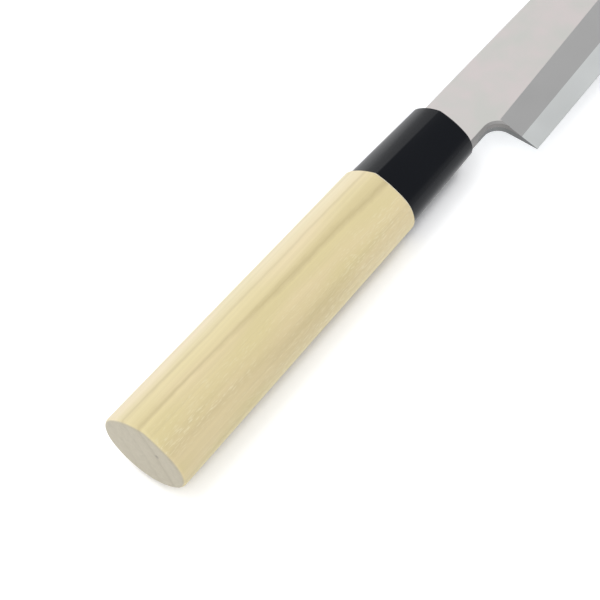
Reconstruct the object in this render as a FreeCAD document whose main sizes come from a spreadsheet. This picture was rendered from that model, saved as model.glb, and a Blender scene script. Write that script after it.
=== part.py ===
import FreeCAD, Part
import math
import os
import Sketcher

# Yanagiba slicing knife for the right hand. The working frame has its origin on the handle's axis
# at the front face of the ferrule: +X to the tip, +Y to the spine, +Z out of the bevelled face.

doc = FreeCAD.newDocument("yanagiba")
dim = doc.addObject("Spreadsheet::Sheet", "dim")

driving = {
    # blade, seen from the side
    "edge_length": 240,        # heel corner to tip, along the handle
    "straight_length": 130,    # straight part of the edge, from the heel
    "straight_rise": 2.5,      # how far that part climbs towards the spine
    "heel_height": 32.6,       # spine to edge at the heel
    "spine_offset": 8.3,       # handle axis to the spine at the neck
    "tip_offset": 3.5,         # handle axis to the tip
    "spine_radius": 9000,      # slow curve of the back
    "neck_length": 12.4,       # ferrule to heel
    "neck_drop": 9.6,          # handle axis to the lower side of the neck
    "neck_gap": 0.5,           # shoulders of the neck to the ferrule
    "notch_radius": 5,         # round corner between neck and heel
    "notch_bevel": 0.6,        # eased upper edge of that corner
    "spine_round": 0.4,        # rounded edges of the back
    # blade, through its thickness
    "heel_thick": 3.8,
    "tip_thick": 1.7,
    "edge_flat": 0.2,          # land of the fine edge
    "bevel_heel": 13.0,        # width of the ground bevel at the heel
    "bevel_belly": 16.4,       # and where the edge starts to curve
    "ridge_run": 14,           # tip back to the place where the ridge line is past the spine
    "ridge_over": 1.6,         # how far it is past the tip there
    "steel_heel": 1.7,         # height of the weld line over the back, at the heel
    "steel_tip": 0.8,
    "steel_start": 4,          # ferrule to the rear end of the hard steel
    # hollow ground back
    "wheel_radius": 330,       # radius of the hollow across the blade
    "back_rim": 1.8,           # flat rim left along edge and spine
    "hollow_start": 4,         # heel to the hollow
    "hollow_end": 26,          # hollow to the tip
    "hollow_pinch": 9,         # it narrows by this on each side at the heel
    # tang and its bed
    "tang_length": 88,
    "tang_root_width": 11,
    "tang_end_width": 6,
    "tang_root_thick": 3.4,
    "tang_end_thick": 2.2,
    "tang_drop": 0.6,          # handle axis to the middle of the tang
    "bed_wall": 0.8,           # filler around the tang
    "bed_end": 3,              # filler past its end
    "bed_recess": 0.4,         # filler set back from the ferrule's face
    # handle: full width, radius of the round sides, ridge over and beside the axis
    "spine_turn": 45,          # degrees up the side where the facet starts
    "edge_turn": 57,           # and on the edge side
    "belly_share": 0.45,       # sag of the belly, as a share of the sides' inset
    "grip_length": 100.8,
    "butt_width": 26,
    "butt_side": 8.8,
    "butt_ridge": 11.3,
    "butt_ridge_aside": -0.7,
    "shoulder_width": 24.2,
    "shoulder_side": 8.3,
    "shoulder_ridge": 10.75,
    "shoulder_ridge_aside": 1.6,
    "grip_ridge_radius": 2.4,
    "butt_round": 1.0,
    "shoulder_chamfer": 0.6,
    "end_land": 0.2,           # straight stretch between a taper and its eased end
    "ferrule_length": 30.75,
    "collar_width": 22.9,
    "collar_side": 7.2,
    "collar_ridge": 10.1,
    "collar_ridge_aside": 1.55,
    "nose_width": 21.1,
    "nose_side": 6.3,
    "nose_ridge": 8.55,
    "nose_ridge_aside": 1.35,
    "ferrule_ridge_radius": 0.6,
    "nose_chamfer": 0.4,
    # tenon of the grip in the ferrule
    "nose_wall": 7,            # solid front of the ferrule
    "tenon_width": 16.6,
    "tenon_depth": 12,
    "tenon_fit": 0.05,         # glue line on each side
    "tenon_gap": 0.5,          # tenon to the floor of its pocket
}
for row, (alias, number) in enumerate(driving.items(), 1):
    dim.set(f"A{row}", alias)
    dim.set(f"B{row}", str(number))
    dim.setAlias(f"B{row}", alias)
doc.recompute()

# places that several pieces share
handle_length = "(dim.grip_length + dim.ferrule_length)"
tip_x = "(dim.neck_length + dim.edge_length)"
belly_x = "(dim.neck_length + dim.straight_length)"
heel_y = "(dim.spine_offset - dim.heel_height)"
belly_y = f"({heel_y} + dim.straight_rise)"
back_z = "(-dim.heel_thick / 2)"
taper = "((dim.heel_thick - dim.tip_thick) / dim.edge_length)"
steel_taper = "((dim.steel_heel - dim.steel_tip) / dim.edge_length)"
socket_length = "(dim.tang_length + dim.bed_end)"
tenon_length = "(dim.ferrule_length - dim.nose_wall - dim.tenon_gap)"
margin = "5"                   # cutters run this far past the blade
near = 1e-3                    # places closer than this are the same

# along the hollow of the back: share of its length, and how much of the pinch at its heel end is left
hollow_stations = [(0, 1), (0.06, 0.4), (0.16, 0), (0.35, 0), (0.55, 0), (0.7, 0), (0.85, 0), (1, 0)]


def value(expression):
    return float(dim.evalExpression(expression))


def point(place):
    return FreeCAD.Vector(value(place[0]), value(place[1]), 0)


def free_sketch(name, height):
    sketch = doc.addObject("Sketcher::SketchObject", name)
    sketch.setExpression("Placement.Base.z", height)
    return sketch


def body_sketch(body, name, role, shift="0"):
    sketch = body.newObject("Sketcher::SketchObject", name)
    plane = [feature for feature in body.Origin.OriginFeatures if feature.Role == role][0]
    sketch.AttachmentSupport = (plane, [""])
    sketch.MapMode = "FlatFace"
    sketch.setExpression("AttachmentOffset.Base.z", shift)
    return sketch


def bind(sketch, kind, places, expression):
    index = sketch.addConstraint(Sketcher.Constraint(kind, *places, value(expression)))
    sketch.setExpression(f"Constraints[{index}]", expression)


def pin(sketch, curve, end, place):
    bind(sketch, "DistanceX", (-1, 1, curve, end), place[0])
    bind(sketch, "DistanceY", (-1, 1, curve, end), place[1])


def join(sketch, kind, first, second):
    sketch.addConstraint(Sketcher.Constraint(kind, first, 2, second, 1))


def polygon(sketch, corners):
    ends = [point(corner) for corner in corners]
    for start, end in zip(ends, ends[1:] + ends[:1]):
        sketch.addGeometry(Part.LineSegment(start, end))
    for side, corner in enumerate(corners):
        join(sketch, "Coincident", side, (side + 1) % len(corners))
        pin(sketch, side, 1, corner)


def arc_about(centre, start, end):
    first = math.atan2(start.y - centre.y, start.x - centre.x)
    last = math.atan2(end.y - centre.y, end.x - centre.x)
    if last < first:
        last += 2 * math.pi
    circle = Part.Circle(centre, FreeCAD.Vector(0, 0, 1), start.distanceToPoint(centre))
    return Part.ArcOfCircle(circle, first, last)


def bow(start, end, radius):
    # shorter arc of this radius, counterclockwise
    chord = end - start
    inward = FreeCAD.Vector(-chord.y, chord.x, 0).normalize()
    sink = math.sqrt(radius ** 2 - chord.Length ** 2 / 4)
    return arc_about((start + end) / 2 + inward * sink, start, end)


def tangent_bow(before, start, end):
    # arc from start to end that goes on in the direction before to start
    along = (start - before).normalize()
    chord = end - start
    inward = FreeCAD.Vector(-along.y, along.x, 0)
    return bow(start, end, chord.Length ** 2 / (2 * chord.dot(inward)))


def straight_and_bow(sketch, first, second, third):
    # a straight stretch and the arc that leaves it without a corner
    ends = [point(place) for place in (first, second, third)]
    sketch.addGeometry(Part.LineSegment(ends[0], ends[1]))
    sketch.addGeometry(tangent_bow(*ends))
    join(sketch, "Tangent", 0, 1)
    pin(sketch, 0, 1, first)
    pin(sketch, 0, 2, second)
    pin(sketch, 1, 2, third)


def loft(body, kind, name, sections, ruled=True):
    feature = body.newObject(f"PartDesign::{kind}", name)
    feature.Profile = sections[0]
    feature.Sections = sections[1:]
    feature.Ruled = ruled
    return feature


def pad(body, name, sketch, length, backwards=False):
    feature = body.newObject("PartDesign::Pad", name)
    feature.Profile = sketch
    feature.Reversed = backwards
    feature.setExpression("Length", length)
    return feature


def pocket(body, name, sketch, depth=None):
    feature = body.newObject("PartDesign::Pocket", name)
    feature.Profile = sketch
    if depth is None:
        feature.Type = "ThroughAll"
        feature.SideType = "Symmetric"
    else:
        feature.setExpression("Length", depth)
    return feature


def ease_edges(body, kind, name, base, chosen, size):
    doc.recompute()
    names = [f"Edge{i}" for i, edge in enumerate(base.Shape.Edges, 1) if chosen(edge)]
    feature = body.newObject(f"PartDesign::{kind}", name)
    feature.Base = (base, names)
    feature.setExpression("Radius" if kind == "Fillet" else "Size", size)
    return feature


def across(edge, x):
    # the whole edge lies in the plane of this x
    places = [edge.CenterOfMass.x] + [vertex.X for vertex in edge.Vertexes]
    return all(abs(place - x) < near for place in places)


def helper(kind, name, **links):
    feature = doc.addObject(kind, name)
    for link, target in links.items():
        setattr(feature, link, target)
    return feature


# Handle sections: round sides, a flatter belly below, and two bowed facets that meet in a ridge above

def depth(station):
    # axis to the belly
    side = f"dim.{station}_side"
    return f"({side} + dim.belly_share * (dim.{station}_width / 2 - {side}))"


def handle_section(body, station, shift, ridge_radius):
    sketch = body_sketch(body, station, "YZ_Plane", shift)
    side = f"dim.{station}_side"
    inset = f"(dim.{station}_width / 2 - {side})"
    aside = f"dim.{station}_ridge_aside"
    rise = f"(dim.{station}_ridge - {ridge_radius})"
    belly = f"({side} + {inset} * (1 / dim.belly_share + dim.belly_share) / 2)"

    def facet_radius(turn, lean):
        # for an arc that leaves the side at this angle and goes over into the ridge, which leans to it
        out = f"({inset} + {side} * cos({turn}) - {lean})"
        over = f"({side} * sin({turn}) - {rise})"
        reach = f"({out} * cos({turn}) + {over} * sin({turn}) - {ridge_radius})"
        return f"({out} ^ 2 + {over} ^ 2 - {ridge_radius} ^ 2) / (2 * {reach})"

    spine_facet = facet_radius("dim.spine_turn", aside)
    edge_facet = facet_radius("dim.edge_turn", f"-{aside}")
    spine_side = point((inset, "0"))
    edge_side = point((f"-{inset}", "0"))
    under = point(("0", f"{belly} - {depth(station)}"))
    crest = point((aside, rise))

    def meet(middle, centre, radius):
        # where an arc about the middle touches the smaller one about the centre
        return middle + (centre - middle).normalize() * value(radius)

    def facet_middle(centre, turn, radius):
        out = math.copysign(value(f"cos({turn})"), centre.x)
        return centre + FreeCAD.Vector(out, value(f"sin({turn})"), 0) * (value(side) - value(radius))

    spine_middle = facet_middle(spine_side, "dim.spine_turn", spine_facet)
    edge_middle = facet_middle(edge_side, "dim.edge_turn", edge_facet)
    spine_top = meet(spine_middle, spine_side, spine_facet)
    edge_top = meet(edge_middle, edge_side, edge_facet)
    crest_start = meet(spine_middle, crest, spine_facet)
    crest_end = meet(edge_middle, crest, edge_facet)
    spine_foot = meet(under, spine_side, belly)
    edge_foot = meet(under, edge_side, belly)
    sketch.addGeometry(arc_about(spine_side, spine_foot, spine_top))
    sketch.addGeometry(arc_about(spine_middle, spine_top, crest_start))
    sketch.addGeometry(arc_about(crest, crest_start, crest_end))
    sketch.addGeometry(arc_about(edge_middle, crest_end, edge_top))
    sketch.addGeometry(arc_about(edge_side, edge_top, edge_foot))
    sketch.addGeometry(arc_about(under, edge_foot, spine_foot))
    for curve in range(6):
        join(sketch, "Tangent", curve, (curve + 1) % 6)
    pin(sketch, 0, 3, (inset, "0"))
    pin(sketch, 4, 3, (f"-{inset}", "0"))
    pin(sketch, 2, 3, (aside, rise))
    radii = [side, spine_facet, ridge_radius, edge_facet, side, belly]
    for curve, radius in enumerate(radii):
        bind(sketch, "Radius", (curve,), radius)
    return sketch


def rectangle_section(body, name, shift, width, depth, centre="0"):
    sketch = body_sketch(body, name, "YZ_Plane", shift)
    left = f"{centre} - ({width}) / 2"
    right = f"{centre} + ({width}) / 2"
    half = f"({depth}) / 2"
    polygon(sketch, [(left, f"-{half}"), (right, f"-{half}"), (right, half), (left, half)])
    return sketch


def round_section(body, name, shift, width, depth):
    # flat above and below, half round at both sides
    sketch = body_sketch(body, name, "YZ_Plane", shift)
    half = f"({depth}) / 2"
    flat = f"(({width}) - ({depth})) / 2"
    corners = [point((f"-{flat}", f"-{half}")), point((flat, f"-{half}"))]
    corners += [point((flat, half)), point((f"-{flat}", half))]
    sketch.addGeometry(Part.LineSegment(corners[0], corners[1]))
    sketch.addGeometry(arc_about(point((flat, "0")), corners[1], corners[2]))
    sketch.addGeometry(Part.LineSegment(corners[2], corners[3]))
    sketch.addGeometry(arc_about(point((f"-{flat}", "0")), corners[3], corners[0]))
    for curve in range(4):
        join(sketch, "Tangent", curve, (curve + 1) % 4)
    pin(sketch, 1, 3, (flat, "0"))
    pin(sketch, 3, 3, (f"-{flat}", "0"))
    bind(sketch, "Radius", (1,), half)
    return sketch


def tang_sections(body, name, root_x, end_x, wall="0"):
    # the tang's two ends, or with a wall the socket around them
    sections = []
    for end, x in (("root", root_x), ("end", end_x)):
        width = f"dim.tang_{end}_width + 2 * {wall}"
        thick = f"dim.tang_{end}_thick + 2 * {wall}"
        label = f"{body.Name}_{name}_{end}"
        sections.append(rectangle_section(body, label, x, width, thick, "-dim.tang_drop"))
    return sections


def tang_ends(body):
    return tang_sections(body, "tang", "dim.neck_gap", "-dim.tang_length")


def socket_ends(body):
    return tang_sections(body, "socket", "0", f"-{socket_length}", "dim.bed_wall")


# Wooden grip with its tenon and the socket for the tang

def make_grip():
    body = doc.addObject("PartDesign::Body", "wood_grip")
    butt_x = f"-{handle_length}"
    shoulder_x = "-dim.ferrule_length"
    butt_land = "(dim.butt_round + dim.end_land)"
    shoulder_land = "(dim.shoulder_chamfer + dim.end_land)"
    butt = handle_section(body, "butt", f"{butt_x} + {butt_land}", "dim.grip_ridge_radius")
    shoulder = handle_section(body, "shoulder", f"{shoulder_x} - {shoulder_land}",
                              "dim.grip_ridge_radius")
    loft(body, "AdditiveLoft", "grip", [shoulder, butt])
    pad(body, "butt_end", butt, butt_land, backwards=True)
    shoulder_end = pad(body, "shoulder_end", shoulder, shoulder_land)
    eased = ease_edges(body, "Fillet", "butt_edge", shoulder_end,
                       lambda edge: across(edge, value(butt_x)), "dim.butt_round")
    ease_edges(body, "Chamfer", "shoulder_edge", eased,
               lambda edge: across(edge, value(shoulder_x)), "dim.shoulder_chamfer")
    section = round_section(body, "tenon_section", shoulder_x, "dim.tenon_width", "dim.tenon_depth")
    pad(body, "tenon", section, tenon_length)
    loft(body, "SubtractiveLoft", "socket", socket_ends(body))
    return body


# Ferrule: a tapered cap over the tenon, with a slot for the tang in its front

def make_ferrule():
    body = doc.addObject("PartDesign::Body", "ferrule")
    collar = handle_section(body, "collar", "-dim.ferrule_length", "dim.ferrule_ridge_radius")
    nose_land = "(dim.nose_chamfer + dim.end_land)"
    nose = handle_section(body, "nose", f"-{nose_land}", "dim.ferrule_ridge_radius")
    loft(body, "AdditiveLoft", "shell", [nose, collar])
    nose_end = pad(body, "nose_end", nose, nose_land)
    ease_edges(body, "Chamfer", "nose_edge", nose_end, lambda edge: across(edge, 0), "dim.nose_chamfer")
    fit = "2 * dim.tenon_fit"
    section = round_section(body, "pocket_section", "-dim.nose_wall", f"dim.tenon_width + {fit}",
                            f"dim.tenon_depth + {fit}")
    pocket(body, "tenon_pocket", section, "dim.ferrule_length - dim.nose_wall")
    loft(body, "SubtractiveLoft", "slot", socket_ends(body))
    return body


# Bedding around the tang, from just inside the ferrule's face to the end of the socket

def make_bedding():
    body = doc.addObject("PartDesign::Body", "tang_bedding")
    loft(body, "AdditiveLoft", "filling", socket_ends(body))
    loft(body, "SubtractiveLoft", "tang_space", tang_ends(body))
    face = rectangle_section(body, "recess_face", "0", "dim.nose_width", "dim.nose_side")
    pocket(body, "recess", face, "dim.bed_recess")
    return body


# Blade blank: outline, eased notch, taper to the tip, and the tang

def blank_outline(sketch):
    neck = ("dim.neck_gap", "-dim.neck_drop")
    notch = ("dim.neck_length - dim.notch_radius", "-dim.neck_drop")
    heel_top = ("dim.neck_length", "-dim.neck_drop - dim.notch_radius")
    heel = ("dim.neck_length", heel_y)
    spine = ("dim.neck_gap", "dim.spine_offset")
    straight_and_bow(sketch, heel, (belly_x, belly_y), (tip_x, "dim.tip_offset"))
    sketch.addGeometry(bow(point((tip_x, "dim.tip_offset")), point(spine), value("dim.spine_radius")))
    sketch.addGeometry(Part.LineSegment(point(spine), point(neck)))
    sketch.addGeometry(Part.LineSegment(point(neck), point(notch)))
    sketch.addGeometry(bow(point(heel_top), point(notch), value("dim.notch_radius")))
    sketch.addGeometry(Part.LineSegment(point(heel_top), point(heel)))
    for first, second in ((1, 2), (2, 3), (3, 4), (6, 0)):
        join(sketch, "Coincident", first, second)
    sketch.addConstraint(Sketcher.Constraint("Coincident", 4, 2, 5, 2))
    sketch.addConstraint(Sketcher.Constraint("Coincident", 5, 1, 6, 1))
    bind(sketch, "Radius", (2,), "dim.spine_radius")
    bind(sketch, "Radius", (5,), "dim.notch_radius")
    pin(sketch, 3, 1, spine)
    pin(sketch, 4, 1, neck)
    pin(sketch, 4, 2, notch)
    pin(sketch, 6, 1, heel_top)


def make_blank():
    body = doc.addObject("PartDesign::Body", "blade_blank")
    outline = body_sketch(body, "blade_outline", "XY_Plane", back_z)
    blank_outline(outline)
    plate = pad(body, "plate", outline, "dim.heel_thick")
    top = value("dim.heel_thick / 2")
    low = value("-dim.neck_drop")
    reach = value("dim.neck_length")

    def notch_edge(edge):
        middle = edge.CenterOfMass
        return abs(middle.z - top) < near and middle.y < low + near and middle.x < reach + near

    ease_edges(body, "Chamfer", "notch_edge", plate, notch_edge, "dim.notch_bevel")
    side = body_sketch(body, "taper_side", "XZ_Plane")
    end_x = f"{tip_x} + {margin}"
    high = f"dim.heel_thick / 2 + {margin}"
    end_z = f"dim.heel_thick / 2 - {taper} * (dim.edge_length + {margin})"
    polygon(side, [("dim.neck_length", "dim.heel_thick / 2"), (end_x, end_z),
                   (end_x, high), ("dim.neck_length", high)])
    tapered = pocket(body, "distal_taper", side)

    def spine_edge(edge):
        ends = [vertex.Point for vertex in edge.Vertexes]
        on_spine = all(abs(end.y - value(spine_at(str(end.x)))) < near for end in ends)
        return on_spine and ends[0].distanceToPoint(ends[1]) > value("dim.heel_thick")

    ease_edges(body, "Fillet", "spine_edges", tapered, spine_edge, "dim.spine_round")
    loft(body, "AdditiveLoft", "tang", tang_ends(body))
    return body


# The ground bevel: a ruled surface from the edge to the ridge line, and all that lies above it

def bevel_cutters():
    edge = free_sketch("edge_line", f"{back_z} + dim.edge_flat")
    straight_and_bow(edge, ("dim.neck_length", heel_y), (belly_x, belly_y), (tip_x, "dim.tip_offset"))
    ridge = free_sketch("ridge_line", "dim.heel_thick / 2")
    ridge.setExpression("Placement.Base.x", "dim.neck_length")
    ridge.setExpression("Placement.Rotation.Axis.y", "1")
    ridge.setExpression("Placement.Rotation.Axis.z", "0")
    ridge.setExpression("Placement.Rotation.Angle", f"atan({taper})")
    straight_and_bow(ridge, ("0", f"{heel_y} + dim.bevel_heel"),
                     ("dim.straight_length", f"{belly_y} + dim.bevel_belly"),
                     ("dim.edge_length - dim.ridge_run", "dim.tip_offset + dim.ridge_over"))
    cutters = []
    for stretch, name in (("Edge1", "straight"), ("Edge2", "belly")):
        face = helper("Part::RuledSurface", f"{name}_bevel",
                      Curve1=(edge, [stretch]), Curve2=(ridge, [stretch]))
        block = helper("Part::Extrusion", f"{name}_cutter",
                       Base=face, DirMode="Custom", Dir=FreeCAD.Vector(0, 0, 1))
        block.setExpression("LengthFwd", f"dim.heel_thick + {margin}")
        cutters.append(block)
    return helper("Part::MultiFuse", "bevel_cutter", Shapes=cutters)


# The hollow of the back: lens sections of one wheel radius, narrowing to the tip

def edge_at(x):
    # height of the edge at this x past the straight part or on it, with the belly as a parabola
    climb = "dim.straight_rise / dim.straight_length"
    past = f"max({x} - {belly_x}; 0) / (dim.edge_length - dim.straight_length)"
    lift = f"dim.tip_offset - {belly_y} - {climb} * (dim.edge_length - dim.straight_length)"
    return f"({heel_y} + {climb} * ({x} - dim.neck_length) + ({lift}) * ({past}) ^ 2)"


def spine_at(x):
    length = f"({tip_x} - dim.neck_gap)"
    share = f"(({x} - dim.neck_gap) / {length})"
    bulge = f"{length} ^ 2 * {share} * (1 - {share}) / (2 * dim.spine_radius)"
    return f"(dim.spine_offset + (dim.tip_offset - dim.spine_offset) * {share} + {bulge})"


def make_hollow():
    body = doc.addObject("PartDesign::Body", "back_hollow")
    length = "(dim.edge_length - dim.hollow_start - dim.hollow_end)"
    sections = []
    for share, pinch in hollow_stations:
        x = f"(dim.neck_length + dim.hollow_start + {share} * {length})"
        rim = f"(dim.back_rim + {pinch} * dim.hollow_pinch)"
        high = f"{spine_at(x)} - {rim}"
        low = f"{edge_at(x)} + {rim}"
        below = f"{back_z} - {margin}"
        corners = [(high, back_z), (low, back_z), (low, below), (high, below)]
        ends = [point(corner) for corner in corners]
        sketch = body_sketch(body, f"hollow_{len(sections)}", "YZ_Plane", x)
        sketch.addGeometry(bow(ends[0], ends[1], value("dim.wheel_radius")))
        for start, end in ((1, 2), (2, 3), (3, 0)):
            sketch.addGeometry(Part.LineSegment(ends[start], ends[end]))
        for side, corner in enumerate(corners):
            join(sketch, "Coincident", side, (side + 1) % 4)
            pin(sketch, side, 1, corner)
        bind(sketch, "Radius", (0,), "dim.wheel_radius")
        sections.append(sketch)
    loft(body, "AdditiveLoft", "hollow", sections[::-1], ruled=False)
    return body


def make_blade():
    blank = make_blank()
    ground = helper("Part::Cut", "ground_blade", Base=blank, Tool=bevel_cutters())
    weld = doc.addObject("PartDesign::Body", "weld_zone")
    side = body_sketch(weld, "weld_side", "XZ_Plane")
    end_x = f"{tip_x} + {margin}"
    start_z = f"{back_z} + dim.steel_heel + {steel_taper} * (dim.neck_length - dim.steel_start)"
    end_z = f"{back_z} + dim.steel_tip - {steel_taper} * {margin}"
    below = f"{back_z} - {margin}"
    polygon(side, [("dim.steel_start", below), (end_x, below), (end_x, end_z), ("dim.steel_start", start_z)])
    block = pad(weld, "weld_block", side, f"2 * (dim.heel_height + {margin})")
    block.SideType = "Symmetric"
    iron = helper("Part::Cut", "soft_iron_blade", Base=ground, Tool=weld)
    layer = helper("Part::Common", "steel_layer", Base=ground, Tool=weld)
    steel = helper("Part::Cut", "hard_steel_edge", Base=layer, Tool=make_hollow())
    return iron, steel


pieces = [make_grip(), make_ferrule(), make_bedding(), *make_blade()]

# the row's frame: origin under the middle of the whole knife
for piece in pieces:
    piece.Label = piece.Name
    piece.setExpression("Placement.Base.x", f"({handle_length} - {tip_x}) / 2")
    piece.setExpression("Placement.Base.y", f"(-({heel_y}) - dim.butt_width / 2) / 2")
    piece.setExpression("Placement.Base.z", depth("butt"))
doc.recompute()

for thing in doc.Objects:
    if "Invalid" in thing.State or "Error" in thing.State:
        raise RuntimeError(f"{thing.Name} did not rebuild: {thing.getStatusString()}")
os.makedirs("parts", exist_ok=True)
for piece in pieces:
    if piece.Shape.isNull() or not piece.Shape.isValid():
        raise RuntimeError(f"{piece.Name} has no valid shape")
    piece.Shape.exportStep(f"parts/{piece.Label}.step")
    print(f"{piece.Label}: {piece.Shape.Volume / 1000:.2f} cubic centimetres")
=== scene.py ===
import math

import bpy
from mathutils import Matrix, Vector


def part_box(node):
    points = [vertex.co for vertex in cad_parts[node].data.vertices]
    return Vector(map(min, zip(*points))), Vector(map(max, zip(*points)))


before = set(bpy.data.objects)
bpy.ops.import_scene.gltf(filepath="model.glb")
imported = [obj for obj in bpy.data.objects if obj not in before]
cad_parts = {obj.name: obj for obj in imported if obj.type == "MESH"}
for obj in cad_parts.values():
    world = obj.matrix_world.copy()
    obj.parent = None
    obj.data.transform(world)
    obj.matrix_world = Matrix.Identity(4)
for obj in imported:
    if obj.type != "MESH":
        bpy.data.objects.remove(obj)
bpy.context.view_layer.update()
scene = bpy.context.scene
mm = 0.001
perMm = 1000          # object coordinates are metres, patterns are laid out in mm
print("frame loaded:", ", ".join(sorted(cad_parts)))


def linear(hexColour):
    channels = [int(hexColour[i:i + 2], 16) / 255 for i in (1, 3, 5)]
    return tuple(c / 12.92 if c <= 0.04045 else ((c + 0.055) / 1.055) ** 2.4 for c in channels) + (1.0,)


def addNode(tree, kind, inputs=None, stops=None, **settings):
    made = tree.nodes.new("ShaderNode" + kind)
    for name, value in settings.items():
        setattr(made, name, value)
    for socket, value in (inputs or {}).items():
        if isinstance(value, bpy.types.NodeSocket):
            tree.links.new(value, made.inputs[socket])
        else:
            made.inputs[socket].default_value = value
    if stops:
        ramp = made.color_ramp.elements
        while len(ramp) < len(stops):
            ramp.new(1.0)
        for stop, (place, colour) in zip(ramp, stops):
            stop.position = place
            stop.color = colour
    return made


def startMaterial(name):
    material = bpy.data.materials.new(name)
    material.use_nodes = True
    material.node_tree.nodes.clear()
    return material, material.node_tree


def dress(node, material):
    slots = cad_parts[node].data.materials
    slots.clear()
    slots.append(material)


# the camera stands behind the butt on the edge side and looks down the handle
shot = {
    "target": (-131.325, 2.89, 10.69),   # mm, inside the handle
    "azimuth": -143.013,                 # degrees
    "elevation": 54.941,
    "distance": 430.0,                   # mm
    "focalPixels": 1629.8,
    "picturePixels": 600,
    "sensor": 36.0,                      # mm
    "nearest": 10.0,                     # mm from the lens, where the picture starts
}


def placeCamera():
    turn = math.radians(shot["azimuth"])
    lift = math.radians(shot["elevation"])
    back = Vector((math.cos(lift) * math.cos(turn), math.cos(lift) * math.sin(turn), math.sin(lift)))
    data = bpy.data.cameras.new("camera")
    data.sensor_width = shot["sensor"]
    data.lens = shot["sensor"] * shot["focalPixels"] / shot["picturePixels"]
    data.clip_start = shot["nearest"] * mm
    camera = bpy.data.objects.new("camera", data)
    camera.location = (Vector(shot["target"]) + back * shot["distance"]) * mm
    camera.rotation_mode = "QUATERNION"
    camera.rotation_quaternion = back.to_track_quat("Z", "Y")
    scene.collection.objects.link(camera)
    scene.camera = camera


placeCamera()
print("camera placed")

# the knife lies on its grip and the blade's tip, so the floor leans a little under it
floor = {
    "white": "#EAEBED",
    "glow": 0.47,         # what the paper adds to its lit colour for rays that see it
    "shadow": 8.0,        # mm, how near the knife has to be to shut out that glow and paint its shadow
    "paintedShades": ((0.34, "#303030"), (0.41, "#6A6A6A"), (0.46, "#A6A6A6"), (0.5, "#C8C8C8"),
               (0.55, "#DCDCDC"), (0.6, "#E6E6E6"), (0.73, "#EBEBEB"), (0.86, "#F2F2F2"),
               (1.0, "#FFFFFF")),   # how open the paper is there, and its glow, which is darker near the knife: a painted shadow
    "reach": 30.0,        # metres each way
    "clear": 0.02,        # mm under the knife
    "tipZone": 1.0,       # mm of the blade that count as its tip
}


def layFloor():
    blade = [v.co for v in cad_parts["hard_steel_edge"].data.vertices]
    front = max(p.x for p in blade) - floor["tipZone"] * mm
    tip = min((p for p in blade if p.x > front), key=lambda p: p.z)
    handle = [v.co for node in ("wood_grip", "ferrule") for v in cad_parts[node].data.vertices]
    lean = max((tip.z - p.z) / (tip.x - p.x) for p in handle)
    reach = floor["reach"]
    corners = []
    for x, y in ((-reach, -reach), (reach, -reach), (reach, reach), (-reach, reach)):
        corners.append((x, y, tip.z + lean * (x - tip.x) - floor["clear"] * mm))
    mesh = bpy.data.meshes.new("floor")
    mesh.from_pydata(corners, [], [(0, 1, 2, 3)])
    sheet = bpy.data.objects.new("floor", mesh)
    scene.collection.objects.link(sheet)

    # matt white paper: lit by the studio, and brought up to plain white by a glow
    # that fades where the knife is close above it, a painted shadow on top of the one the studio casts
    material, tree = startMaterial("paperSweep")
    ray = addNode(tree, "LightPath")
    seen = ray.outputs["Is Camera Ray"]
    for kind in ("Is Glossy Ray", "Is Transmission Ray"):
        seen = addNode(tree, "Math", {0: seen, 1: ray.outputs[kind]}, operation="MAXIMUM").outputs[0]
    # how open the paper is near the knife: this sets the painted shadow in the glow
    room = addNode(tree, "AmbientOcclusion", {"Distance": floor["shadow"] * mm})
    shade = addNode(tree, "ValToRGB", {"Fac": room.outputs["AO"]},
                    stops=[(share, linear(look)) for share, look in floor["paintedShades"]])
    strength = addNode(tree, "Math", {0: seen, 1: floor["glow"]}, operation="MULTIPLY")
    glow = addNode(tree, "Emission", {"Color": shade.outputs[0], "Strength": strength.outputs[0]})
    paper = addNode(tree, "BsdfDiffuse", {"Color": linear(floor["white"])})
    both = addNode(tree, "AddShader", {0: paper.outputs[0], 1: glow.outputs[0]})
    addNode(tree, "OutputMaterial", {"Surface": both.outputs[0]})
    material.cycles.emission_sampling = "NONE"
    mesh.materials.append(material)


layFloor()
print("floor laid")

# a bright room, brighter behind the spine, with a dim card over the edge side, a white sweep all round,
# and a softbox overhead
studio = {
    "white": "#FFFFFF",
    "room": 1.02,
    "lean": 0.05,         # how much brighter it is towards the spine side
    "leanTo": (-0.6, 0.8, 0.0),
    "card": 0.5,
    "cardAt": (0.56, -0.4, 0.72),
    "cardFull": 22,       # degrees from the card's middle
    "cardEnd": 38,
    "sweep": 0.9,
    "sweepTop": 0.2,      # height of the white sweep, as share of the direction upwards
    "sweepFade": 0.16,
    "softbox": 0.25,      # light that it adds on a sheet facing it
    "softboxFrom": (-0.3, 0.3, 0.9),
    "softboxSpread": 40,  # degrees across
}


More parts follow.
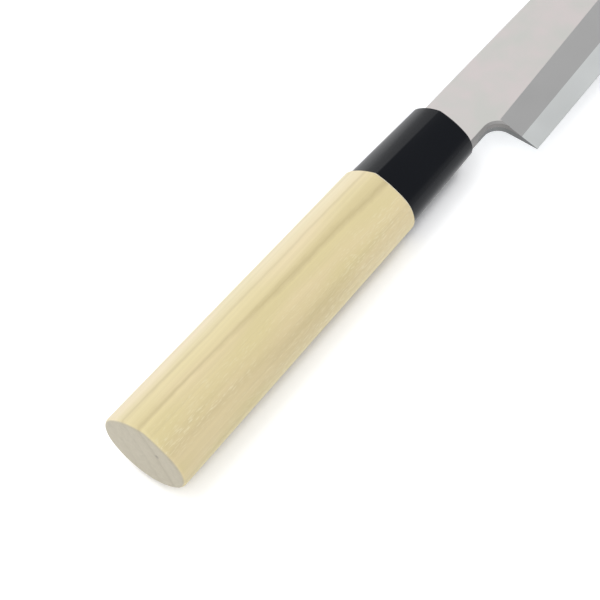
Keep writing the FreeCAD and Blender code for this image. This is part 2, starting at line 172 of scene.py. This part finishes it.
def lightStudio():
    world = bpy.data.worlds.new("studio")
    world.use_nodes = True
    scene.world = world
    tree = world.node_tree
    tree.nodes.clear()
    way = addNode(tree, "TexCoord").outputs["Generated"]
    towards = addNode(tree, "VectorMath", {0: way, 1: studio["leanTo"]}, operation="DOT_PRODUCT")
    room = addNode(tree, "Math", {0: towards.outputs["Value"], 1: studio["room"] * studio["lean"],
                                  2: studio["room"]}, operation="MULTIPLY_ADD")
    middle = Vector(studio["cardAt"]).normalized()
    near = addNode(tree, "VectorMath", {0: way, 1: middle}, operation="DOT_PRODUCT")
    shade = addNode(tree, "MapRange", {"Value": near.outputs["Value"],
                                       "From Min": math.cos(math.radians(studio["cardEnd"])),
                                       "From Max": math.cos(math.radians(studio["cardFull"]))},
                    interpolation_type="SMOOTHSTEP")
    dimmed = addNode(tree, "Mix", {"Factor": shade.outputs[0], "A": room.outputs[0], "B": studio["card"]})
    split = addNode(tree, "SeparateXYZ", {0: way})
    low = addNode(tree, "MapRange", {"Value": split.outputs["Z"], "From Min": studio["sweepTop"],
                                     "From Max": studio["sweepTop"] + studio["sweepFade"],
                                     "To Min": 1.0, "To Max": 0.0}, interpolation_type="SMOOTHSTEP")
    level = addNode(tree, "Mix", {"Factor": low.outputs[0], "A": dimmed.outputs[0], "B": studio["sweep"]})
    back = addNode(tree, "Background", {"Color": linear(studio["white"]), "Strength": level.outputs[0]})
    addNode(tree, "OutputWorld", {"Surface": back.outputs[0]})

    lamp = bpy.data.lights.new("softbox", "SUN")
    lamp.energy = studio["softbox"]
    lamp.angle = math.radians(studio["softboxSpread"])
    holder = bpy.data.objects.new("softbox", lamp)
    holder.rotation_mode = "QUATERNION"
    holder.rotation_quaternion = Vector(studio["softboxFrom"]).to_track_quat("Z", "Y")
    scene.collection.objects.link(holder)


lightStudio()
print("studio lit")


# magnolia, planed and sanded, no varnish: pale cream with straight fibres along the grip, soft grey-green
# late wood that builds up slowly and ends at a ring, fine bright ray flecks, and grey end grain on the butt
grip = {
    "cream": ((73.0, "#F4E9CC"), (79.5, "#F0E3BE"), (81.5, "#ECDDB1"), (88.5, "#E9D9A5"),
              (95.0, "#D5C48D")),            # mm from the pith, colour there
    "tinges": ((0.38, "#E6D9A4"), (0.62, "#F2DFBB")),   # olive and rose patches
    "tinge": 0.4,                            # how much of them is in the cream
    "lateWood": "#BFAE80",
    "fleck": "#F9F0D2",
    # painted highlight on the front edge beside the ferrule
    "shoulderHighlight": "#FFF6DE",
    "endGrain": "#C3BBA6",
    "endLines": "#AEA58F",
    "pit": "#857C6E",
    "axis": (5.65, 10.69),                   # mm, y and z of the handle's axis
    "butt": -191.975,                        # mm, rear end of the grip
    "pith": (68.0, -42.4),                   # mm from the axis to the heart of the tree
    "rings": ((74.4, 0.22), (80.6, 0.3), (86.0, 0.52), (91.6, 0.25),
              (96.8, 0.3)),                  # mm from the pith, depth of colour
    "ringProfile": ((-3.0, 0.0), (-1.05, 0.3), (-0.21, 1.0),
                    (0.7, 0.0)),             # mm from the ring, share of its colour
    "ringSpan": (68.4, 99.8),                # mm from the pith, the part that is drawn
    "ringTilt": -0.018,                      # mm that a ring shifts for each mm along the grip
    "strays": (("waves", 0.9), ("steps", 0.32)),        # mm that rings leave their path
    "patterns": {                            # mm along the grip, mm across it, detail
        "waves": (45.45, 20.0, 1.0),
        "steps": (3.5, 2.0, 3.0),
        "fibres": (50.0, 0.4, 2.0),          # drawn coarser than real ones
        "streaks": (66.67, 1.6, 1.0),
        "tint": (33.33, 8.333, 1.0),
        "dashes": (2.0, 0.3, 1.0),
        "patches": (50.0, 5.0, 1.0),
    },
    "grain": (("fibres", 0.3, 0.7, 0.1),
              ("streaks", 0.45, 0.75, 0.14)),           # pattern, where it starts, where it is full, depth
    "dashRange": (0.55, 0.7),
    "patchRange": (0.4, 0.6),
    "patchDepth": (0.2, 0.45),               # strength of the flecks outside and inside the patches
    "fleckBand": ((87.2, 0.1), (88.8, 1.0), (91.0, 1.0), (92.8, 0.0)),   # mm from the pith, share of flecks
    "highlightFacing": (0.3, 0.6),                 # x of the surface's direction, on the sides and on the front edge that takes the painted highlight
    "endFacing": (-0.6, -0.9),               # the same for the butt
    "speckle": 1.4286,                       # mm, size of the mottle in the end grain
    "speckleDetail": 4.0,
    "speckleRoughness": 0.7,
    "mottleRange": (0.3, 0.7),
    "mottleDepth": 0.5,
    "pitAt": (-4.6, 3.9),                    # mm from the axis, on the butt
    "pitSize": 0.85,                         # mm
    "roughness": (0.37, 0.53),
    "ior": 1.53,
    "reliefStrength": 0.25,
    "relief": 0.04,                          # mm
}


def magnoliaWood():
    material, tree = startMaterial("sandedMagnolia")
    where = addNode(tree, "TexCoord")
    facing = addNode(tree, "SeparateXYZ", {0: where.outputs["Normal"]})
    shift = (-grip["butt"], -grip["axis"][0], -grip["axis"][1])
    place = addNode(tree, "Mapping", {"Vector": where.outputs["Object"], "Scale": (perMm,) * 3,
                                      "Location": shift}).outputs[0]
    along = addNode(tree, "SeparateXYZ", {0: place})

    # most patterns run far along the grip, as wood grows
    noise = {}
    for name, (length, width, detail) in grip["patterns"].items():
        laid = addNode(tree, "VectorMath", {0: place, 1: (1 / length, 1 / width, 1 / width)},
                       operation="MULTIPLY")
        drawn = addNode(tree, "TexNoise", {"Vector": laid.outputs[0], "Scale": 1.0, "Detail": detail})
        noise[name] = drawn.outputs[0]

    # distance from the heart of the tree, in the handle's cross-section
    flat = addNode(tree, "VectorMath", {0: place, 1: (0, *grip["pith"])}, operation="SUBTRACT")
    flat = addNode(tree, "VectorMath", {0: flat.outputs[0], 1: (0, 1, 1)}, operation="MULTIPLY")
    radius = addNode(tree, "VectorMath", {0: flat.outputs[0]}, operation="LENGTH")
    bent = addNode(tree, "Math", {0: along.outputs["X"], 1: grip["ringTilt"], 2: radius.outputs["Value"]},
                   operation="MULTIPLY_ADD")
    for pattern, far in grip["strays"]:
        stray = addNode(tree, "MapRange", {"Value": noise[pattern], "To Min": -far, "To Max": far})
        bent = addNode(tree, "Math", {0: bent.outputs[0], 1: stray.outputs[0]}, operation="ADD")
    first, last = grip["ringSpan"]
    across = addNode(tree, "MapRange", {"Value": bent.outputs[0], "From Min": first, "From Max": last})
    stops = []
    for ring, depth in grip["rings"]:
        for offset, share in grip["ringProfile"]:
            stops.append(((ring + offset - first) / (last - first), (depth * share,) * 3 + (1,)))
    late = addNode(tree, "ValToRGB", {"Fac": across.outputs[0]}, stops=stops)

    # cream with broad tinges, darkened by late wood, fibres and streaks
    cream = addNode(tree, "ValToRGB", {"Fac": across.outputs[0]},
                    stops=[((r - first) / (last - first), linear(look)) for r, look in grip["cream"]])
    tinges = addNode(tree, "ValToRGB", {"Fac": noise["tint"]},
                     stops=[(spot, linear(look)) for spot, look in grip["tinges"]])
    warm = addNode(tree, "Mix", {"Factor": grip["tinge"], "A": cream.outputs[0], "B": tinges.outputs[0]},
                   data_type="RGBA")
    dark = late.outputs[0]
    for pattern, start, full, depth in grip["grain"]:
        mask = addNode(tree, "MapRange", {"Value": noise[pattern], "From Min": start, "From Max": full,
                                          "To Max": depth})
        added = addNode(tree, "Math", {0: dark, 1: mask.outputs[0]}, operation="ADD", use_clamp=True)
        dark = added.outputs[0]
    longGrain = addNode(tree, "Mix", {"Factor": dark, "A": warm.outputs[2], "B": linear(grip["lateWood"])},
                        data_type="RGBA")

    # ray flecks: short bright dashes, dense in some streaks and faint in others
    dashMask = addNode(tree, "MapRange", {"Value": noise["dashes"], "From Min": grip["dashRange"][0],
                                          "From Max": grip["dashRange"][1]})
    patchMask = addNode(tree, "MapRange", {"Value": noise["patches"], "From Min": grip["patchRange"][0],
                                           "From Max": grip["patchRange"][1],
                                           "To Min": grip["patchDepth"][0], "To Max": grip["patchDepth"][1]})
    stops = [((r - first) / (last - first), (share,) * 3 + (1,)) for r, share in grip["fleckBand"]]
    band = addNode(tree, "ValToRGB", {"Fac": across.outputs[0]}, stops=stops)
    flecks = addNode(tree, "Math", {0: dashMask.outputs[0], 1: patchMask.outputs[0]}, operation="MULTIPLY")
    flecks = addNode(tree, "Math", {0: flecks.outputs[0], 1: band.outputs[0]}, operation="MULTIPLY")
    flecked = addNode(tree, "Mix", {"Factor": flecks.outputs[0], "A": longGrain.outputs[2],
                                    "B": linear(grip["fleck"])}, data_type="RGBA")

    # painted highlight: the edge beside the ferrule faces the light, so it is painted pale
    highlightMask = addNode(tree, "MapRange", {"Value": facing.outputs["X"], "From Min": grip["highlightFacing"][0],
                                     "From Max": grip["highlightFacing"][1]})
    highlighted = addNode(tree, "Mix", {"Factor": highlightMask.outputs[0], "A": flecked.outputs[2],
                                  "B": linear(grip["shoulderHighlight"])}, data_type="RGBA")

    # end grain on the butt: faint rings, mottled by cut fibres, with one small pit
    ends = addNode(tree, "MapRange", {"Value": facing.outputs["X"], "From Min": grip["endFacing"][0],
                                      "From Max": grip["endFacing"][1]})
    speckle = addNode(tree, "TexNoise", {"Vector": place, "Scale": 1 / grip["speckle"],
                                         "Detail": grip["speckleDetail"],
                                         "Roughness": grip["speckleRoughness"]})
    mottle = addNode(tree, "MapRange", {"Value": speckle.outputs[0], "From Min": grip["mottleRange"][0],
                                        "From Max": grip["mottleRange"][1], "To Max": grip["mottleDepth"]})
    endMask = addNode(tree, "Math", {0: late.outputs[0], 1: mottle.outputs[0]}, operation="ADD",
                      use_clamp=True)
    endColour = addNode(tree, "Mix", {"Factor": endMask.outputs[0], "A": linear(grip["endGrain"]),
                                      "B": linear(grip["endLines"])}, data_type="RGBA")
    pit = addNode(tree, "VectorMath", {0: place, 1: (0, *grip["pitAt"])}, operation="DISTANCE")
    pitMask = addNode(tree, "MapRange", {"Value": pit.outputs["Value"], "From Min": grip["pitSize"],
                                         "From Max": 0.0})
    endColour = addNode(tree, "Mix", {"Factor": pitMask.outputs[0], "A": endColour.outputs[2],
                                      "B": linear(grip["pit"])}, data_type="RGBA")
    colour = addNode(tree, "Mix", {"Factor": ends.outputs[0], "A": highlighted.outputs[2],
                                   "B": endColour.outputs[2]}, data_type="RGBA")

    rough = addNode(tree, "MapRange", {"Value": noise["fibres"], "To Min": grip["roughness"][0],
                                       "To Max": grip["roughness"][1]})
    relief = addNode(tree, "Bump", {"Height": noise["fibres"], "Strength": grip["reliefStrength"],
                                    "Distance": grip["relief"] * mm})
    shader = addNode(tree, "BsdfPrincipled", {"Base Color": colour.outputs[2], "Roughness": rough.outputs[0],
                                              "IOR": grip["ior"], "Normal": relief.outputs[0]})
    addNode(tree, "OutputMaterial", {"Surface": shader.outputs[0]})
    return material


# black phenolic resin, moulded and buffed: deep gloss with a faint haze from handling
ferrule = {
    "black": "#090D14",
    "roughness": (0.16, 0.24),
    "ior": 1.5,
    "gloss": 0.2,                      # below the usual 0.5, as the surface has gone slightly dull
    "haze": 9.0,                       # mm, size of the cloudy patches
    "hazeRange": (0.3, 0.7),
    "buffing": (33.33, 0.5, 0.5),      # mm along x, y and z, drawn coarser than real buffing lines
    "reliefStrength": 0.1,
    "relief": 0.01,                    # mm
}


def buffedResin():
    material, tree = startMaterial("buffedBlackResin")
    where = addNode(tree, "TexCoord")
    place = addNode(tree, "VectorMath", {0: where.outputs["Object"], 1: (perMm,) * 3}, operation="MULTIPLY")
    cloud = addNode(tree, "TexNoise", {"Vector": place.outputs[0], "Scale": 1 / ferrule["haze"],
                                       "Detail": 3.0})
    rough = addNode(tree, "MapRange", {"Value": cloud.outputs[0], "From Min": ferrule["hazeRange"][0],
                                       "From Max": ferrule["hazeRange"][1],
                                       "To Min": ferrule["roughness"][0],
                                       "To Max": ferrule["roughness"][1]})
    lines = addNode(tree, "VectorMath", {0: place.outputs[0], 1: [1 / size for size in ferrule["buffing"]]},
                    operation="MULTIPLY")
    buffing = addNode(tree, "TexNoise", {"Vector": lines.outputs[0], "Scale": 1.0, "Detail": 2.0})
    relief = addNode(tree, "Bump", {"Height": buffing.outputs[0], "Strength": ferrule["reliefStrength"],
                                    "Distance": ferrule["relief"] * mm})
    shader = addNode(tree, "BsdfPrincipled", {"Base Color": linear(ferrule["black"]),
                                              "Roughness": rough.outputs[0], "IOR": ferrule["ior"],
                                              "Specular IOR Level": ferrule["gloss"],
                                              "Normal": relief.outputs[0]})
    addNode(tree, "OutputMaterial", {"Surface": shader.outputs[0]})
    return material


# soft iron, belt-polished along the flat and stone-ground across the bevel:
# an even satin above the ridge line, a darker mist below it, and duller sides, also painted darker to stand
# for the shade on them
iron = {
    "flat": "#D6CFCE",
    "cloud": "#D0D0CC",
    "bevel": "#C1C1C1",
    # painted shade: the sides are painted darker than the faces, as they stand in shade
    "side": "#8C8A88",
    "flatRoughness": 0.34,
    "bevelRoughness": 0.5,
    "sideRoughness": 0.5,
    "bevelFacing": (-0.09, -0.15),     # y of the surface's direction, on the flat and on the bevel
    "sideFacing": (0.9, 0.6),          # z of the surface's direction, on the faces and on the sides
    "beltLines": (33.33, 0.3, 1.0),    # mm along x, y and z, drawn coarser than the belt's grit
    "stoneLines": (0.3, 20.0, 20.0),   # the same for the stone on the bevel
    "clouds": 9.0,                     # mm across
    "cloudRange": (0.35, 0.65),
    "unevenRange": (0.3, 0.7),
    "unevenness": 0.04,                # how far the roughness strays in those clouds
    "reliefStrength": 0.15,
    "relief": 0.005,                   # mm
}


def satinIron():
    material, tree = startMaterial("satinSoftIron")
    where = addNode(tree, "TexCoord")
    place = addNode(tree, "VectorMath", {0: where.outputs["Object"], 1: (perMm,) * 3}, operation="MULTIPLY")
    facing = addNode(tree, "SeparateXYZ", {0: where.outputs["Normal"]})
    bevel = addNode(tree, "MapRange", {"Value": facing.outputs["Y"], "From Min": iron["bevelFacing"][0],
                                       "From Max": iron["bevelFacing"][1]})
    # sideways walls, which take the painted shade
    side = addNode(tree, "MapRange", {"Value": facing.outputs["Z"], "From Min": iron["sideFacing"][0],
                                      "From Max": iron["sideFacing"][1]})

    lengthwise = addNode(tree, "VectorMath", {0: place.outputs[0],
                                              1: [1 / size for size in iron["beltLines"]]},
                         operation="MULTIPLY")
    crosswise = addNode(tree, "VectorMath", {0: place.outputs[0],
                                             1: [1 / size for size in iron["stoneLines"]]},
                        operation="MULTIPLY")
    strokes = addNode(tree, "Mix", {"Factor": bevel.outputs[0], "A": lengthwise.outputs[0],
                                    "B": crosswise.outputs[0]}, data_type="VECTOR")
    lines = addNode(tree, "TexNoise", {"Vector": strokes.outputs[1], "Scale": 1.0, "Detail": 2.0})
    cloud = addNode(tree, "TexNoise", {"Vector": place.outputs[0], "Scale": 1 / iron["clouds"],
                                       "Detail": 3.0})
    cloudMask = addNode(tree, "MapRange", {"Value": cloud.outputs[0], "From Min": iron["cloudRange"][0],
                                           "From Max": iron["cloudRange"][1]})
    satin = addNode(tree, "Mix", {"Factor": cloudMask.outputs[0], "A": linear(iron["flat"]),
                                  "B": linear(iron["cloud"])}, data_type="RGBA")
    ground = addNode(tree, "Mix", {"Factor": bevel.outputs[0], "A": satin.outputs[2],
                                   "B": linear(iron["bevel"])}, data_type="RGBA")
    colour = addNode(tree, "Mix", {"Factor": side.outputs[0], "A": ground.outputs[2],
                                   "B": linear(iron["side"])}, data_type="RGBA")
    rough = addNode(tree, "Mix", {"Factor": bevel.outputs[0], "A": iron["flatRoughness"],
                                  "B": iron["bevelRoughness"]})
    rough = addNode(tree, "Mix", {"Factor": side.outputs[0], "A": rough.outputs[0],
                                  "B": iron["sideRoughness"]})
    uneven = addNode(tree, "MapRange", {"Value": cloud.outputs[0], "From Min": iron["unevenRange"][0],
                                        "From Max": iron["unevenRange"][1],
                                        "To Min": -iron["unevenness"], "To Max": iron["unevenness"]})
    rough = addNode(tree, "Math", {0: rough.outputs[0], 1: uneven.outputs[0]}, operation="ADD")
    relief = addNode(tree, "Bump", {"Height": lines.outputs[0], "Strength": iron["reliefStrength"],
                                    "Distance": iron["relief"] * mm})
    shader = addNode(tree, "BsdfPrincipled", {"Base Color": colour.outputs[2], "Metallic": 1.0,
                                              "Roughness": rough.outputs[0], "Normal": relief.outputs[0]})
    addNode(tree, "OutputMaterial", {"Surface": shader.outputs[0]})
    return material


# hard carbon steel, stone-polished: a cleaner, cooler band along the edge, a wheel-ground hollow behind,
# and duller sides, also painted darker to stand for the shade on them
steel = {
    "band": "#E7EAEA",
    # painted shade: the sides are painted darker than the faces, as they stand in shade
    "hollow": "#BFC2C3",
    "side": "#7E7F7F",
    "bandRoughness": 0.45,
    "hollowRoughness": 0.38,
    "sideRoughness": 0.5,
    "backFacing": -0.5,                # z of the surface's direction, below which it belongs to the back
    "sideFacing": (0.9, 0.6),          # the same, up or down, on the faces and on the sides
    "rim": (0.01, 0.02),               # mm above the back where the hollow's look starts and is full
    "stoneLines": (0.25, 16.67, 16.67),   # mm along x, y and z, drawn coarser than the grit
    "clouds": 11.0,                    # mm across
    "unevenRange": (0.3, 0.7),
    "unevenness": 0.04,                # how far the roughness strays in those clouds
    "reliefStrength": 0.1,
    "relief": 0.004,                   # mm
}


def polishedSteel():
    material, tree = startMaterial("polishedHardSteel")
    where = addNode(tree, "TexCoord")
    place = addNode(tree, "VectorMath", {0: where.outputs["Object"], 1: (perMm,) * 3}, operation="MULTIPLY")
    spot = addNode(tree, "SeparateXYZ", {0: place.outputs[0]})
    facing = addNode(tree, "SeparateXYZ", {0: where.outputs["Normal"]})
    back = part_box("hard_steel_edge")[0].z * perMm
    under = addNode(tree, "Math", {0: facing.outputs["Z"], 1: steel["backFacing"]}, operation="LESS_THAN")
    deep = addNode(tree, "MapRange", {"Value": spot.outputs["Z"], "From Min": back + steel["rim"][0],
                                      "From Max": back + steel["rim"][1]})
    hollow = addNode(tree, "Math", {0: under.outputs[0], 1: deep.outputs[0]}, operation="MULTIPLY")
    # sideways walls, which take the painted shade
    level = addNode(tree, "Math", {0: facing.outputs["Z"]}, operation="ABSOLUTE")
    side = addNode(tree, "MapRange", {"Value": level.outputs[0], "From Min": steel["sideFacing"][0],
                                      "From Max": steel["sideFacing"][1]})
    strokes = addNode(tree, "VectorMath", {0: place.outputs[0],
                                           1: [1 / size for size in steel["stoneLines"]]},
                      operation="MULTIPLY")
    lines = addNode(tree, "TexNoise", {"Vector": strokes.outputs[0], "Scale": 1.0, "Detail": 2.0})
    colour = addNode(tree, "Mix", {"Factor": hollow.outputs[0], "A": linear(steel["band"]),
                                   "B": linear(steel["hollow"])}, data_type="RGBA")
    colour = addNode(tree, "Mix", {"Factor": side.outputs[0], "A": colour.outputs[2],
                                   "B": linear(steel["side"])}, data_type="RGBA")
    rough = addNode(tree, "Mix", {"Factor": hollow.outputs[0], "A": steel["bandRoughness"],
                                  "B": steel["hollowRoughness"]})
    rough = addNode(tree, "Mix", {"Factor": side.outputs[0], "A": rough.outputs[0],
                                  "B": steel["sideRoughness"]})
    cloud = addNode(tree, "TexNoise", {"Vector": place.outputs[0], "Scale": 1 / steel["clouds"],
                                       "Detail": 2.0})
    uneven = addNode(tree, "MapRange", {"Value": cloud.outputs[0], "From Min": steel["unevenRange"][0],
                                        "From Max": steel["unevenRange"][1],
                                        "To Min": -steel["unevenness"], "To Max": steel["unevenness"]})
    rough = addNode(tree, "Math", {0: rough.outputs[0], 1: uneven.outputs[0]}, operation="ADD")
    relief = addNode(tree, "Bump", {"Height": lines.outputs[0], "Strength": steel["reliefStrength"],
                                    "Distance": steel["relief"] * mm})
    shader = addNode(tree, "BsdfPrincipled", {"Base Color": colour.outputs[2], "Metallic": 1.0,
                                              "Roughness": rough.outputs[0], "Normal": relief.outputs[0]})
    addNode(tree, "OutputMaterial", {"Surface": shader.outputs[0]})
    return material


# cast resin filler, poured around the hot tang: dark brown and grainy
bedding = {
    "brown": "#3A3029",
    "grain": "#55483C",
    "size": 0.6,          # mm, width of a grain
    "roughness": 0.7,
    "ior": 1.5,
    "reliefStrength": 0.4,
    "relief": 0.05,       # mm
}


def castFiller():
    material, tree = startMaterial("castFiller")
    where = addNode(tree, "TexCoord")
    place = addNode(tree, "VectorMath", {0: where.outputs["Object"], 1: (perMm,) * 3}, operation="MULTIPLY")
    grains = addNode(tree, "TexNoise", {"Vector": place.outputs[0], "Scale": 1 / bedding["size"],
                                        "Detail": 3.0})
    colour = addNode(tree, "Mix", {"Factor": grains.outputs[0], "A": linear(bedding["brown"]),
                                   "B": linear(bedding["grain"])}, data_type="RGBA")
    relief = addNode(tree, "Bump", {"Height": grains.outputs[0], "Strength": bedding["reliefStrength"],
                                    "Distance": bedding["relief"] * mm})
    shader = addNode(tree, "BsdfPrincipled", {"Base Color": colour.outputs[2],
                                              "Roughness": bedding["roughness"], "IOR": bedding["ior"],
                                              "Normal": relief.outputs[0]})
    addNode(tree, "OutputMaterial", {"Surface": shader.outputs[0]})
    return material


dress("wood_grip", magnoliaWood())
dress("ferrule", buffedResin())
dress("soft_iron_blade", satinIron())
dress("hard_steel_edge", polishedSteel())
dress("tang_bedding", castFiller())
print("materials assigned")

scene.view_settings.view_transform = "Standard"
